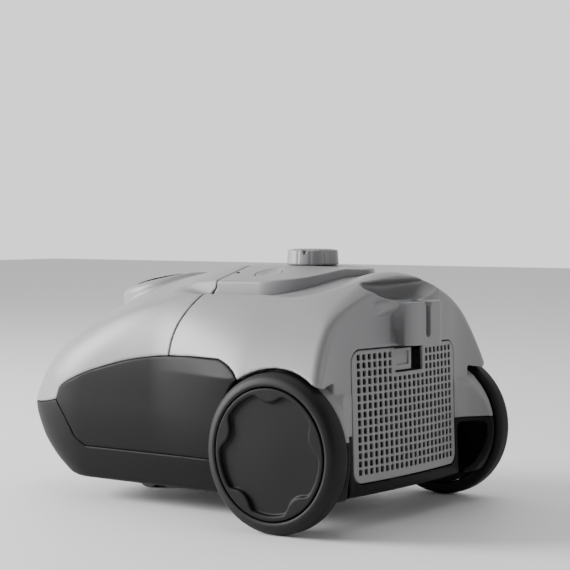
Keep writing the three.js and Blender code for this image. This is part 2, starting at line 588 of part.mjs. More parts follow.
/** Compression spring under a button. */
function buttonSpring(side) {
  const turns = 3.5;
  const path = new THREE.Curve();
  path.getPoint = (t) => new THREE.Vector3(6.4 * Math.cos(2 * Math.PI * turns * t),
    6.4 * Math.sin(2 * Math.PI * turns * t), -13.4 + 8.2 * t);
  const section = new THREE.Shape().absarc(0, 0, 0.7, 0, 2 * Math.PI);
  const wire = new THREE.ExtrudeGeometry(section, { steps: 28, extrudePath: path, curveSegments: 2 });
  return placed(solid(wire), buttonFrame(side));
}

const suctionKnob = () => {
  const body = spin([[3.1, 216], [4, 216], [4, 225.4], [KNOB_RADIUS, 225.4], [KNOB_RADIUS - 0.8, 237.6],
    [KNOB_RADIUS - 2.4, 239.4], [18, 239.6], [17, KNOB_TOP], [0, KNOB_TOP], [0, 222], [3.1, 222], [3.1, 216]],
  'z', [0, KNOB_Y, 0], 28);
  const atKnob = new THREE.Matrix4().makeTranslation(0, KNOB_Y, 0);
  const pointer = placed(rod(4.6, 18.5, 30, 'x', [0, 0, KNOB_TOP - 0.6], 3), atKnob.multiply(
    new THREE.Matrix4().makeRotationZ(0.27)));
  return cut(body, pointer);
};
const potentiometer = () => join(rod(8, 199.6, 211.6, 'z', [0, KNOB_Y, 0], 20),
  rod(2.7, 211, 221, 'z', [0, KNOB_Y, 0], 12));
const controlBoard = () => box(-56, 56, -98, -34, 197.6, 199.2);
const powerLamp = () => spin([[0, 210], [1.8, 210], [1.8, LAMP_TOP], [1, LAMP_TOP + 0.6],
  [0, LAMP_TOP + 0.7]], 'z', [BUTTON_X, LAMP_Y, 0], 12);

// ---------------------------------------------------------------- wheels
const onAxle = (profile, sides = 32) => spin(profile, 'x', [0, 0, AXLE_Z], sides);
const tyre = () => onAxle([[57.4, WHEEL_INNER + 0.4], [66, WHEEL_INNER + 0.4], [69, 131], [69, 141.5],
  [67.6, 145.4], [64, 148.4], [58.6, 149.6], [57.4, 148.6], [57.4, WHEEL_INNER + 0.4]], 28);
const wheelRim = () => onAxle([[6.5, 128], [13, 128], [13, 131], [52, 131], [52, WHEEL_INNER + 0.4],
  [57, WHEEL_INNER + 0.4], [57, 142.8], [52, 142.8], [52, 134], [13, 134], [13, 138], [6.5, 138],
    [6.5, 128]], 20);

function hubCap() {
  const face = onAxle([[0, 143.2], [56.6, 143.2], [56.6, 149.2], [55.6, WHEEL_OUTER], [52.6, WHEEL_OUTER],
    [51.4, 148.9],
    [50.4, 145.4], [0, 146]], 30);
  const lobes = [0, 1, 2, 3, 4].map((k) => {
    const angle = Math.PI / 2 + (k * 2 * Math.PI) / 5;
    const centre = [0, 60.5 * Math.cos(angle), AXLE_Z + 60.5 * Math.sin(angle)];
    return rod(16.5, 144, WHEEL_OUTER - 0.4, 'x', centre, 14);
  });
  return join(face, meet(join(...lobes), disc(51.8, 140, 160, 30)));
}
const axleStub = () => join(disc(6, 96, 142.4, 20), disc(11, 119.6, 122, 20));
const axleClip = () => meet(ring(11, 6.3, 138.6, 140.2, 'x', [0, 0, AXLE_Z], 20),
  box(130, 150, -20, 20, AXLE_Z - 5, AXLE_Z + 20));

function casterFork() {
  const plate = rod(14, 29.6, 33, 'z', [0, CASTER_Y, 0], 24);
  const pin = rod(3.8, 32, 43, 'z', [0, CASTER_Y, 0], 16);
  const cheek = (x0, x1) => across(polygon([[CASTER_Y - 7, 31], [CASTER_Y + 3, 8], [CASTER_Y + 13, 8],
    [CASTER_Y + 13, 31]]), x0, x1);
  return cut(join(plate, pin, cheek(10.4, 13), cheek(-13, -10.4)),
    rod(2.7, -20, 20, 'x', [0, CASTER_Y + CASTER_TRAIL, CASTER_RADIUS], 12));
}
const onCaster = (radius, x0, x1, sides) =>
  rod(radius, x0, x1, 'x', [0, CASTER_Y + CASTER_TRAIL, CASTER_RADIUS], sides);
const casterWheel = () => cut(onCaster(CASTER_RADIUS, -9.8, 9.8, 28), onCaster(2.9, -20, 20, 12));
const casterAxle = () => onCaster(2.4, -13.4, 13.4, 12);

const baseScrew = ([x, y, seat]) => join(rod(3.6, -2.5, 0, 'z', [x, y, seat], 10),
  rod(1.8, -0.5, 13, 'z', [x, y, seat], 8));

// ---------------------------------------------------------------- the assembly
const vacuum = new THREE.Group();
vacuum.position.y = AXLE_Y;

function add(name, made, material) {
  const mesh = new THREE.Mesh(toGeometry(made), material());
  mesh.name = name;
  vacuum.add(mesh);
}

/** Adds a piece made for the left side (+X), and its mirror image. */
function addPair(name, made, material) {
  add(`${name}_left`, made, material);
  add(`${name}_right`, mirrored(made), material);
}

add('lower_chassis', lowerChassis(), darkPlastic);
addPair('side_panel', sidePanel(), darkPlastic);
add('rear_housing', rearHousing(), lightPlastic);
add('parking_bracket', parkingBracket(), lightPlastic);
add('control_deck', controlDeck(), lightPlastic);
add('bag_lid', bagLid(), lightPlastic);
add('lid_latch', lidLatch(), darkPlastic);
add('hose_socket', hoseSocket(), blackPlastic);
add('inlet_seal', inletSeal(), rubber);
add('lid_seal', lidSeal(), rubber);
add('bag_chamber', bagChamber(), innerPlastic);
add('bag_holder', bagHolder(), whitePlastic);
add('bag_collar', bagCollar(), card);
add('dust_bag', dustBag(), paper);
add('filter_frame', filterFrame(), innerPlastic);
add('filter_foam', filterFoam(), foamBlack);
add('fan_shroud', fanShroud(), innerPlastic);
add('impeller', impeller(), steel);
add('motor_shaft', motorShaft(), steel);
add('armature', armature(), copper);
add('stator_can', statorCan(), steel);
add('front_mount', frontMount(), rubber);
add('rear_mount', rearMount(), rubber);
add('exhaust_grille', exhaustGrille(), lightPlastic);
add('grille_latch', grilleLatch(), lightPlastic);
add('exhaust_frame', exhaustFrame(), blackPlastic);
add('exhaust_paper', exhaustPaper(), paper);
add('reel_drum', reelDrum(), innerPlastic);
add('reel_axle', reelAxle(), innerPlastic);
add('spring_case', springCase(), steel);
add('brake_lever', brakeLever(), innerPlastic);
add('brake_roller', brakeRoller(), rubber);
add('cord_outlet', cordOutlet(), blackPlastic);
add('power_button', pushButton(1), lightPlastic);
add('rewind_button', pushButton(-1), lightPlastic);
add('power_spring', buttonSpring(1), steel);
add('rewind_spring', buttonSpring(-1), steel);
add('suction_knob', suctionKnob(), lightPlastic);
add('potentiometer', potentiometer(), blackPlastic);
add('control_board', controlBoard(), boardGreen);
add('power_lamp', powerLamp(), clearRed);
addPair('tyre', tyre(), rubber);
addPair('wheel_rim', wheelRim(), blackPlastic);
addPair('hub_cap', hubCap(), darkPlastic);
addPair('axle_stub', axleStub(), steel);
addPair('axle_clip', axleClip(), steel);
add('caster_fork', casterFork(), blackPlastic);
add('caster_wheel', casterWheel(), rubber);
add('caster_axle', casterAxle(), steel);
screwPlaces.forEach((place, i) => add(`base_screw_${i + 1}`, baseScrew(place), steel));

export default vacuum;
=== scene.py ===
"""Canister vacuum cleaner, seen from behind on its left.

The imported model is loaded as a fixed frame. The visible shells are made as implicit surfaces: each
piece is a field of distances on a grid, whose zero surface becomes its mesh. Forms are worked out in
millimetres around the wheel axle (y = 0), and moved into the frame when the mesh is made.
"""
import math

import bpy
import numpy as np
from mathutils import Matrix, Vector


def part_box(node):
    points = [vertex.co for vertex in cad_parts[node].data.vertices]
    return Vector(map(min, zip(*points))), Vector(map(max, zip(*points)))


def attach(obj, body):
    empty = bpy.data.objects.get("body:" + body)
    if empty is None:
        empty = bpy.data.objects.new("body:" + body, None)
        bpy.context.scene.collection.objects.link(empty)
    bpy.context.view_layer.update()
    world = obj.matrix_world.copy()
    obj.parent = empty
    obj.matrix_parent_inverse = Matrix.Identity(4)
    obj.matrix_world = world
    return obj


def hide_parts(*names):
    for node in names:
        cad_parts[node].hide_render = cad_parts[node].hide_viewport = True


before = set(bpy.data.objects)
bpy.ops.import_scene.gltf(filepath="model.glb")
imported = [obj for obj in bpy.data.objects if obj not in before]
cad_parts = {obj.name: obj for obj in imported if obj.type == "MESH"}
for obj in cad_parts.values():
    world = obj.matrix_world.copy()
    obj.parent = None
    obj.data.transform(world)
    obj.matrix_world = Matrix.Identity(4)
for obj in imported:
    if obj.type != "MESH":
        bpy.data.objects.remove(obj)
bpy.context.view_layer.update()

import openvdb
from mathutils import Matrix, Vector

AXLE_LOW, AXLE_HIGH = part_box("tyre_left")
AXLE_Y = (AXLE_LOW[1] + AXLE_HIGH[1]) / 2
AXLE_Z = 69.0

# ------------------------------------------------------------------ dimensions, in millimetres
WALL = 2.6
SEAM = 0.9
BODY_FLOOR = 21.0
REAR_RISE = 7.0
FLARE = 30.0
REAR_FACE = 46.3
REAR_LEAN = 0.029
REAR_BOW = 0.0007
REAR_SWEEP = 0.0048
REAR_CORNER = 10.0
NOSE_POWER = 2.5
CROWN = 0.003
WELL_INNER = 112.0
WELL_RADIUS = 72.0
SKIRT_RADIUS = 65.0
SKIRT_OUTER = 125.0
SKIRT_SWEEP = 0.016
DECK_HALF = 73.0
DECK_OBLIQUE = (0.548, 0.836)
DECK_REACH = 9.0
DECK_POINT = 14.0
DECK_CORNER = 26.0
TRENCH_REAR = 4.0
TRENCH_CORNER = 34.0
TRENCH_DEPTH = 10.5
TRENCH_WIDTH = 21.0
GRILLE_HALF = 84.6
GRILLE_LOW = 39.4
GRILLE_HIGH = 154.4
GRILLE_THICK = 3.0
KNOB_Y = -59.4
KNOB_RADIUS = 24.2
BUTTON_X = 47.0
BUTTON_Y = -75.0
BUTTON_RADIUS = 12.6
BUTTON_Z = 218.5
BUTTON_TILT = 0.255
INLET_Y = -239.0
INLET_Z = 204.4
INLET_TILT = 0.24
SHELF_TOP = 194.5
SHELF_THICK = 4.5
BOSS_LOW = 156.3
BOSS_REAR = 67.3
LIGHT_EDGE_REAR = 81.0
PANEL_FOOT = 53.0
HINGE_Y = -115.6
HINGE_Z = 225.2
HINGE_ARM_X = 53.0
HINGE_ARM_RADIUS = 18.0
LATCH_Z = 105.0
SLOT_HALF = 3.8
SLOT_BOTTOM = 166.7
KNOB_LOW = 225.4
KNOB_HIGH = 239.4
POCKET_X = 106.0
POCKET_Z = 50.0
POCKET_FRONT = 15.0
CASTER_Y = -262.0
MOTOR_Z = 86.0


# ------------------------------------------------------------------ fields
class Grid:
    """Sample points of one piece; a symmetric piece only has those with x >= 0."""

    def __init__(self, x0, x1, y0, y1, z0, z1, step, half=False):
        self.step = step
        self.half = half
        self.start = (0.0 if half else x0, y0, z0)
        axis = lambda a, b: np.arange(a, b + step, step, dtype=np.float32)
        self.x = axis(self.start[0], x1)[:, None, None]
        self.y = axis(y0, y1)[None, :, None]
        self.z = axis(z0, z1)[None, None, :]
        self.shape = (self.x.size, self.y.size, self.z.size)


def curve(points):
    """Smooth curve through [position, value] points that never overshoots them."""
    at, value = np.array(points, dtype=float).T
    slope = np.diff(value) / np.diff(at)
    before = np.concatenate([slope[:1], slope])
    after = np.concatenate([slope, slope[-1:]])
    same = before * after > 0
    tangent = np.where(same, 2 * before * after / np.where(same, before + after, 1), 0)

    def look_up(where):
        q = np.clip(where, at[0], at[-1])
        i = np.clip(np.searchsorted(at, q) - 1, 0, len(at) - 2)
        span = at[i + 1] - at[i]
        t = (q - at[i]) / span
        total = ((2 * t**3 - 3 * t**2 + 1) * value[i] + (t**3 - 2 * t**2 + t) * span * tangent[i]
                 + (3 * t**2 - 2 * t**3) * value[i + 1] + (t**3 - t**2) * span * tangent[i + 1])
        return total.astype(np.float32)

    return look_up


def smooth(value, low, high):
    t = np.clip((value - low) / (high - low), 0, 1)
    return t * t * (3 - 2 * t)


def meet(a, b, radius=0.0):
    """Intersection of two fields, its edge rounded by the radius."""
    if not radius:
        return np.maximum(a, b)
    rounded = np.hypot(np.maximum(a + radius, 0), np.maximum(b + radius, 0))
    return np.minimum(np.maximum(a, b), -radius) + rounded


def join(a, b, radius=0.0):
    return -meet(-a, -b, radius)


def cut(a, b, radius=0.0):
    return meet(a, -b, radius)


def even(field, step):
    """The field over its own slope, so that it measures distance near its surface."""
    slope = np.sqrt(sum(np.gradient(field, step, axis=k) ** 2 for k in range(3)))
    return (field / np.maximum(slope, 0.35)).astype(np.float32)


def polygon(points, u, v):
    """Distance to a polygon in the plane of u and v, negative inside."""
    corners = np.array(points, dtype=np.float32)
    best = np.full(np.broadcast(u, v).shape, 1e9, dtype=np.float32)
    inside = np.zeros(best.shape, dtype=bool)
    for (u0, v0), (u1, v1) in zip(corners, np.roll(corners, -1, axis=0)):
        du, dv = u1 - u0, v1 - v0
        t = np.clip(((u - u0) * du + (v - v0) * dv) / (du * du + dv * dv), 0, 1)
        best = np.minimum(best, (u - u0 - t * du) ** 2 + (v - v0 - t * dv) ** 2)
        if dv:
            crosses = ((v0 <= v) != (v1 <= v)) & (u < u0 + (v - v0) * du / dv)
            inside ^= crosses
    return np.where(inside, -1, 1).astype(np.float32) * np.sqrt(best)


def slab(value, low, high):
    return np.maximum(low - value, value - high)


def rounded_box(u, v, half_u, half_v, radius):
    """Distance to a rectangle with rounded corners around the origin of u and v."""
    du = np.abs(u) - half_u + radius
    dv = np.abs(v) - half_v + radius
    outside = np.hypot(np.maximum(du, 0), np.maximum(dv, 0))
    return outside + np.minimum(np.maximum(du, dv), 0) - radius


# ------------------------------------------------------------------ the body's form
spine_height = curve([[-366, 60], [-350, 116], [-325, 146], [-292, 170], [-258, 188], [-185, 214],
                      [-119, 224], [-59, 225], [0, 222.4], [28, 219.6], [45, 212], [60, 198]])
nose_front = curve([[16, -292], [40, -332], [60, -350], [88, -361], [112, -349], [140, -329],
                    [170, -290], [200, -245], [232, -215]])
nose_root = curve([[60, -250], [112, -245], [140, -220], [170, -180], [190, -160], [232, -150]])
dark_edge = curve([[-400, 88.5], [-330, 89.5], [-284, 95.5], [-280, 106], [-263, 116], [-226, 129],
                   [-177, 140], [-139, 144], [-103, 145.2], [-70, 145.4], [-56, 141.6], [-45, 135.3],
                   [-38, 128]])


def facet_drop(x):
    """How far the deck and the lid behind it fall away from the flat middle, in two facets."""
    side = np.abs(x)
    first = np.hypot(np.maximum(side - 22, 0), 2) - 2
    second = np.maximum(side - 70, 0)
    return 0.262 * first + 0.32 * second


def top_height(x, y):
    faceted = smooth(y, -176, -140)
    crown = CROWN * x * x
    return spine_height(y) - crown - faceted * (facet_drop(x) - crown)


def trench(x, y):
    """Depth of the sunken band around the control deck, from a rounded outline of its own."""
    dx = np.maximum(np.abs(x) - (DECK_HALF - TRENCH_CORNER), 0)
    dy = np.maximum(y - (TRENCH_REAR - TRENCH_CORNER), 0)
    away = np.maximum(np.hypot(dx, dy) - TRENCH_CORNER, 0)
    depth = TRENCH_DEPTH * (0.55 + 0.45 * smooth(np.abs(x), 20, 70))
    return depth * np.maximum(1 - away / TRENCH_WIDTH, 0) ** 1.5


def half_width(y, z):
    low = 112 - 0.0021 * (95 - z) ** 2
    high = 112 - 17 * (np.maximum(z - 95, 0) / 95) ** 3.6
    lift = np.where(z > 130, np.maximum((200 - z) / 70, 0) ** 0.8, np.clip((z - 40) / 90, 0, 1))
    flare = FLARE * lift * smooth(y, -165, -35)
    return np.maximum(np.where(z < 95, low, high) + flare, 40)


def walls_field(g):
    """Side walls, nose and rear wall."""
    half = half_width(g.y, g.z)
    root, front = nose_root(g.z), nose_front(g.z)
    ahead = np.maximum((root - g.y) / (root - front), 0)
    plan = ((np.abs(g.x) / half) ** NOSE_POWER + ahead**NOSE_POWER) ** (1 / NOSE_POWER)
    side = even((plan - 1) * half, g.step)
    return meet(side, g.y - rear_wall(g), REAR_CORNER)


def rear_wall(g):
    """Rear wall's y: bowed, leaning back downwards, and swept back again beside the grille."""
    sweep = REAR_SWEEP * np.maximum(np.abs(g.x) - GRILLE_HALF, 0) ** 2
    return REAR_FACE + REAR_LEAN * np.maximum(GRILLE_HIGH - g.z, 0) - REAR_BOW * g.x**2 + sweep


def wheel_field(g):
    """Distance from the wheel axle's line."""
    return np.hypot(g.y, g.z - AXLE_Z)


def body_field(g, top, boss=None):
    """Outer form of the body under a top, with the skirts added and the wheel wells let in."""
    roof = even(np.broadcast_to(g.z - top, g.shape), g.step)
    field = meet(walls_field(g), roof, 1.8)
    reach = wheel_field(g)
    skirt = meet(reach - SKIRT_RADIUS, np.abs(g.x) - SKIRT_OUTER, 3)
    sweep = SKIRT_SWEEP * np.maximum(np.abs(g.x) - GRILLE_HALF, 0) ** 2
    skirt = meet(skirt, g.y - rear_wall(g) - sweep, 2)
    floor = BODY_FLOOR + REAR_RISE * smooth(g.y, -20, 48) - g.z
    field = meet(join(field, skirt, 1), floor, 5)
    well = cut(np.maximum(reach - WELL_RADIUS, WELL_INNER - np.abs(g.x)), skirt)
    field = cut(field, well, 1.4)
    if boss is not None:
        field = join(field, boss, 3)
    return field


def shell(field, thick=WALL):
    return np.abs(field + thick / 2) - thick / 2


def housing_top(g):
    return spine_height(g.y) - CROWN * g.x**2 - trench(g.x, g.y)


def lid_top(g):
    """The lid's top: beside the deck it sinks to the housing's level, fading out forwards."""
    top = top_height(g.x, g.y)
    beside = smooth(np.abs(g.x), 70, 76) * smooth(g.y, -170, -118)
    return top - beside * np.maximum(top - housing_top(g), 0)


def dark_field(g, lower):
    """Negative below the edge of the light shells."""
    ys = np.concatenate([np.arange(-400, -38, 4), [-38, -37.9, 100, 100, -400]])
    zs = np.concatenate([dark_edge(ys[:-4]), [LIGHT_EDGE_REAR, LIGHT_EDGE_REAR, -60, -60]])
    return polygon(np.column_stack([ys, zs - lower]), g.y[0], g.z[0])[None]


def seam_field(g, back):
    """Negative in front of the seam between lid and rear housing."""
    z = g.z
    line = np.where(z < 144, -140, -140 + 19 * ((np.minimum(z, 197) - 144) / 53) ** 2)
    line = line + 5 * smooth(z, 197, 206) + back
    return (g.y - line) / np.sqrt(1 + np.gradient(line, g.step, axis=2) ** 2)


def deck_outline(g, grow=0.0):
    """Plan of the control deck, its rear end a blunt point; other fields end it in front."""
    across, along = DECK_OBLIQUE
    oblique = across * (np.hypot(g.x, DECK_POINT) - 1) + along * g.y - DECK_REACH
    return meet(np.abs(g.x) - DECK_HALF - grow, oblique - grow, DECK_CORNER)


def inlet_coordinates(g):
    """Coordinates in the hose socket's leaning frame."""
    c, s = math.cos(INLET_TILT), math.sin(INLET_TILT)
    y, z = g.y - INLET_Y, g.z - INLET_Z
    return g.x, y * c + z * s, z * c - y * s


# ------------------------------------------------------------------ meshes
def between(field, at):
    """Field value at fractional grid positions."""
    low = np.clip(np.floor(at).astype(int), 0, np.array(field.shape) - 2)
    t = at - low
    total = 0
    for corner in np.ndindex(2, 2, 2):
        weight = np.prod(np.where(corner, t, 1 - t), axis=1)
        total = total + weight * field[tuple((low + corner).T)]
    return total


def to_object(name, points, faces, material):
    """Object with its mesh in the frame, from points in millimetres around the axle."""
    mesh = bpy.data.meshes.new(name)
    placed = np.asarray(points, dtype=np.float64) * 0.001
    placed[:, 1] += AXLE_Y
    faces = np.asarray(faces)
    mesh.vertices.add(len(placed))
    mesh.vertices.foreach_set("co", placed.ravel())
    mesh.loops.add(faces.size)
    mesh.loops.foreach_set("vertex_index", faces.astype(np.int32).ravel())
    mesh.polygons.add(len(faces))
    mesh.polygons.foreach_set("loop_start", np.arange(0, faces.size, faces.shape[1], dtype=np.int32))
    mesh.update(calc_edges=True)
    mesh.shade_smooth()
    mesh.materials.append(material)
    made = bpy.data.objects.new(name, mesh)
    bpy.context.scene.collection.objects.link(made)
    return made


def surface(name, g, field, material):
    """Mesh of a field's zero surface, its points drawn exactly onto it."""
    field = np.broadcast_to(field, g.shape).astype(np.float32)
    start = np.array(g.start)
    if g.half:
        field = np.concatenate([field[:0:-1], field])
        start[0] = -g.step * (g.shape[0] - 1)
    field = np.pad(field, 1, constant_values=3 * g.step)
    grid = openvdb.FloatGrid(3.0 * g.step)
    grid.copyFromArray(np.ascontiguousarray(np.clip(field, -3 * g.step, 3 * g.step)))
    points, quads = grid.convertToQuads(0.0)
    points = points.astype(np.float64)
    for _ in range(2):
        value = between(field, points)
        slope = np.column_stack([
            between(field, points + shift) - between(field, points - shift) for shift in np.eye(3) * 0.5])
        size = np.maximum((slope**2).sum(axis=1), (0.3 * g.step) ** 2)
        points -= np.clip(slope * (value / size)[:, None], -0.5, 0.5)
    points = start + (points - 1) * g.step
    corners = points[quads]
    turning = np.cross(corners[:, 2] - corners[:, 0], corners[:, 3] - corners[:, 1])
    if (corners.mean(axis=1) * turning).sum() < 0:
        quads = quads[:, ::-1]
    return to_object(name, points, quads, material)


def spin(name, profile, centre, axis, material, sides=128):
    """Closed body of revolution: profile points are [radius, distance along the axis]."""
    ring = np.array(profile, dtype=float)
    count = len(ring)
    angle = np.linspace(0, 2 * math.pi, sides, endpoint=False)
    points = np.zeros((sides, count, 3))
    k = "xyz".index(axis)
    u, v = [(1, 2), (2, 0), (0, 1)][k]
    points[:, :, k] = ring[None, :, 1]
    points[:, :, u] = np.cos(angle)[:, None] * ring[None, :, 0]
    points[:, :, v] = np.sin(angle)[:, None] * ring[None, :, 0]
    i, j = np.meshgrid(np.arange(sides), np.arange(count), indexing="ij")
    ahead, on = (i + 1) % sides, (j + 1) % count
    faces = np.stack([i * count + j, ahead * count + j, ahead * count + on, i * count + on], axis=-1)
    flat = ring[:, 0] * np.roll(ring[:, 1], -1) - np.roll(ring[:, 0], -1) * ring[:, 1]
    quads = faces.reshape(-1, 4)
    if flat.sum() < 0:
        quads = quads[:, ::-1]
    return to_object(name, points.reshape(-1, 3) + np.array(centre), quads, material)


def rounded(profile, radius, steps=4):
    """Closed profile with its corners rounded."""
    corners = np.array(profile, dtype=float)
    out = []
    for before, corner, after in zip(np.roll(corners, 1, axis=0), corners, np.roll(corners, -1, axis=0)):
        back, on = before - corner, after - corner
        reach = min(radius, 0.45 * np.linalg.norm(back), 0.45 * np.linalg.norm(on))
        a = corner + back / np.linalg.norm(back) * reach
        b = corner + on / np.linalg.norm(on) * reach
        for t in np.linspace(0, 1, steps + 1):
            out.append((1 - t) ** 2 * a + 2 * t * (1 - t) * corner + t * t * b)
    return np.array(out)


# ------------------------------------------------------------------ materials
def new_material(name):
    material = bpy.data.materials.new(name)
    material.use_nodes = True
    nodes = material.node_tree.nodes
    return material, nodes, material.node_tree.links, nodes["Principled BSDF"]


def noise(nodes, links, where, scale, detail=2.0, roughness=0.5):
    made = nodes.new("ShaderNodeTexNoise")
    made.inputs["Scale"].default_value = scale
    made.inputs["Detail"].default_value = detail
    made.inputs["Roughness"].default_value = roughness
    links.new(where.outputs["Object"], made.inputs["Vector"])
    return made


def span(nodes, links, value, low, high):
    made = nodes.new("ShaderNodeMapRange")
    made.inputs["To Min"].default_value = low
    made.inputs["To Max"].default_value = high
    links.new(value, made.inputs["Value"])
    return made.outputs["Result"]


def moulded(name, color, roughness=0.45, grain=2200, depth=0.00012, mottle=0.04, specular=0.5):
    """Moulded plastic or rubber: fine spark-eroded grain, slight mottle and uneven gloss."""
    material, nodes, links, shader = new_material(name)
    where = nodes.new("ShaderNodeTexCoord")
    broad = noise(nodes, links, where, 18, 3)
    fine = noise(nodes, links, where, grain, 2)
    mix = nodes.new("ShaderNodeMix")
    mix.data_type = "RGBA"
    links.new(broad.outputs["Fac"], mix.inputs["Factor"])
    low = [c * (1 - mottle) for c in color]
    high = [min(1, c * (1 + mottle)) for c in color]
    mix.inputs[6].default_value = (*low, 1)
    mix.inputs[7].default_value = (*high, 1)
    links.new(mix.outputs[2], shader.inputs["Base Color"])
    gloss = span(nodes, links, fine.outputs["Fac"], roughness - 0.07, roughness + 0.07)
    links.new(gloss, shader.inputs["Roughness"])
    bump = nodes.new("ShaderNodeBump")
    bump.inputs["Strength"].default_value = 0.35
    bump.inputs["Distance"].default_value = depth
    links.new(fine.outputs["Fac"], bump.inputs["Height"])
    links.new(bump.outputs["Normal"], shader.inputs["Normal"])
    shader.inputs["Specular IOR Level"].default_value = specular
    return material


def fibrous(name, color, scale=900, depth=0.0003, contrast=0.12, sheen=0.0):
    """Paper, fleece or foam: coarse fibres in colour and bump."""
    material, nodes, links, shader = new_material(name)
    where = nodes.new("ShaderNodeTexCoord")
    fibre = noise(nodes, links, where, scale, 5, 0.7)
    mix = nodes.new("ShaderNodeMix")
    mix.data_type = "RGBA"
    links.new(fibre.outputs["Fac"], mix.inputs["Factor"])
    mix.inputs[6].default_value = (*[c * (1 - contrast) for c in color], 1)
    mix.inputs[7].default_value = (*[min(1, c * (1 + contrast)) for c in color], 1)
    links.new(mix.outputs[2], shader.inputs["Base Color"])
    bump = nodes.new("ShaderNodeBump")
    bump.inputs["Strength"].default_value = 0.7
    bump.inputs["Distance"].default_value = depth
    links.new(fibre.outputs["Fac"], bump.inputs["Height"])
    links.new(bump.outputs["Normal"], shader.inputs["Normal"])
    shader.inputs["Roughness"].default_value = 0.92
    shader.inputs["Sheen Weight"].default_value = sheen
    return material


def brushed(name, color, roughness=0.32):
    """Turned or drawn metal: fine lines along one direction."""
    material, nodes, links, shader = new_material(name)
    where = nodes.new("ShaderNodeTexCoord")
    stretch = nodes.new("ShaderNodeMapping")
    stretch.inputs["Scale"].default_value = (1, 14, 1)
    links.new(where.outputs["Object"], stretch.inputs["Vector"])
    lines = nodes.new("ShaderNodeTexNoise")
    lines.inputs["Scale"].default_value = 260
    links.new(stretch.outputs["Vector"], lines.inputs["Vector"])
    gloss = span(nodes, links, lines.outputs["Fac"], roughness - 0.1, roughness + 0.12)
    links.new(gloss, shader.inputs["Roughness"])
    shader.inputs["Base Color"].default_value = (*color, 1)
    shader.inputs["Metallic"].default_value = 1.0
    return material


light_shell = moulded("light_shell_plastic", (0.235, 0.235, 0.242), 0.42)
dark_shell = moulded("dark_shell_plastic", (0.0085, 0.0085, 0.0088), 0.46, specular=0.09)
black_plastic = moulded("black_plastic", (0.005, 0.005, 0.005), 0.5, specular=0.2)
wheel_plastic = moulded("wheel_plastic", (0.009, 0.009, 0.0093), 0.48, specular=0.12)
inner_plastic = moulded("inner_plastic", (0.09, 0.1, 0.105), 0.55)
white_plastic = moulded("white_plastic", (0.6, 0.6, 0.57), 0.5)
soft_rubber = moulded("soft_rubber", (0.014, 0.014, 0.015), 0.72, 1400, 0.0002)
tyre_rubber = moulded("tyre_rubber", (0.006, 0.006, 0.0065), 0.55, 1600, 0.00015, specular=0.22)
bare_steel = brushed("bare_steel", (0.55, 0.56, 0.58))
wound_copper = brushed("wound_copper", (0.55, 0.25, 0.12), 0.4)
kraft_card = fibrous("kraft_card", (0.45, 0.31, 0.18), 1200)
bag_fleece = fibrous("bag_fleece", (0.62, 0.57, 0.47), 1500, 0.0004, 0.1, 0.2)
filter_paper = fibrous("filter_paper", (0.014, 0.014, 0.015), 1800)
open_foam = fibrous("open_foam", (0.03, 0.032, 0.034), 700, 0.0012, 0.5)
board_lacquer = moulded("board_lacquer", (0.02, 0.12, 0.045), 0.3)
lamp_red = moulded("lamp_red", (0.05, 0.012, 0.01), 0.15)


def belongs(piece, body, slot, *nodes):
    """Rides on its body and stands for CAD nodes, which it hides; the slot is not used."""
    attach(piece, body)
    if nodes:
        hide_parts(*nodes)


def mirrored(left, name):
    """Copy of a left-hand piece for the right-hand side."""
    right = left.copy()
    right.data = left.data.copy()
    right.name = name
    right.data.transform(Matrix.Scale(-1, 4, (1, 0, 0)))
    right.data.flip_normals()
    bpy.context.scene.collection.objects.link(right)
    return right


# ------------------------------------------------------------------ lid
def make_lid():
    g = Grid(0, 116, -366, -112, 78, 232, 1.25, half=True)
    x, y, z = inlet_coordinates(g)
    y = (y - 3) / 1.2
    reach = even(np.broadcast_to(np.hypot(x, y) - 41, g.shape), g.step)
    hump = meet(reach, z - 1, 8)
    hump = np.maximum(hump, -52 - z)
    body = body_field(g, lid_top(g), hump)
    field = meet(shell(body), seam_field(g, 0), 0.6)
    field = meet(field, -dark_field(g, 0), 0.6)
    x, y, z = inlet_coordinates(g)
    field = cut(field, meet(np.hypot(x, y) - 24, -20 - z), 0.5)
    window = meet(rounded_box(g.x, g.z - LATCH_Z, 22, 7, 3), g.y + 330)
    field = cut(field, window, 0.5)
    reach = np.hypot(g.y - HINGE_Y, g.z - HINGE_Z)
    arm = meet(np.abs(reach - HINGE_ARM_RADIUS) - 2, np.abs(np.abs(g.x) - HINGE_ARM_X) - 3, 0.5)
    wedge = polygon([[HINGE_Y, HINGE_Z], [HINGE_Y - 40, HINGE_Z - 28], [HINGE_Y - 40, HINGE_Z - 60],
                     [HINGE_Y + 35, HINGE_Z - 60]], g.y[0], g.z[0])[None]
    field = join(field, np.maximum(arm, wedge))
    belongs(surface("lid_shell", g, field, light_shell), "lid", "light_shell", "bag_lid")

    g = Grid(0, 23, -366, -330, 95, 115, 0.8, half=True)
    body = walls_field(g)
    key = meet(shell(body, 3), rounded_box(g.x, g.z - LATCH_Z, 21.5, 6.5, 3), 1)
    dish = np.hypot(g.x, g.z - LATCH_Z) - 5.5
    key = cut(key, np.maximum(dish, np.abs(body) - 0.8), 0.4)
    belongs(surface("lid_latch_key", g, key, dark_shell), "latch", "dark_shell", "lid_latch")


# ------------------------------------------------------------------ rear housing
SCOOP = [[80, SHELF_TOP], [41, SHELF_TOP], [21, 196], [16, 203], [20, 209], [33, 212.5],
         [37, 214.5], [40, 240], [80, 240]]


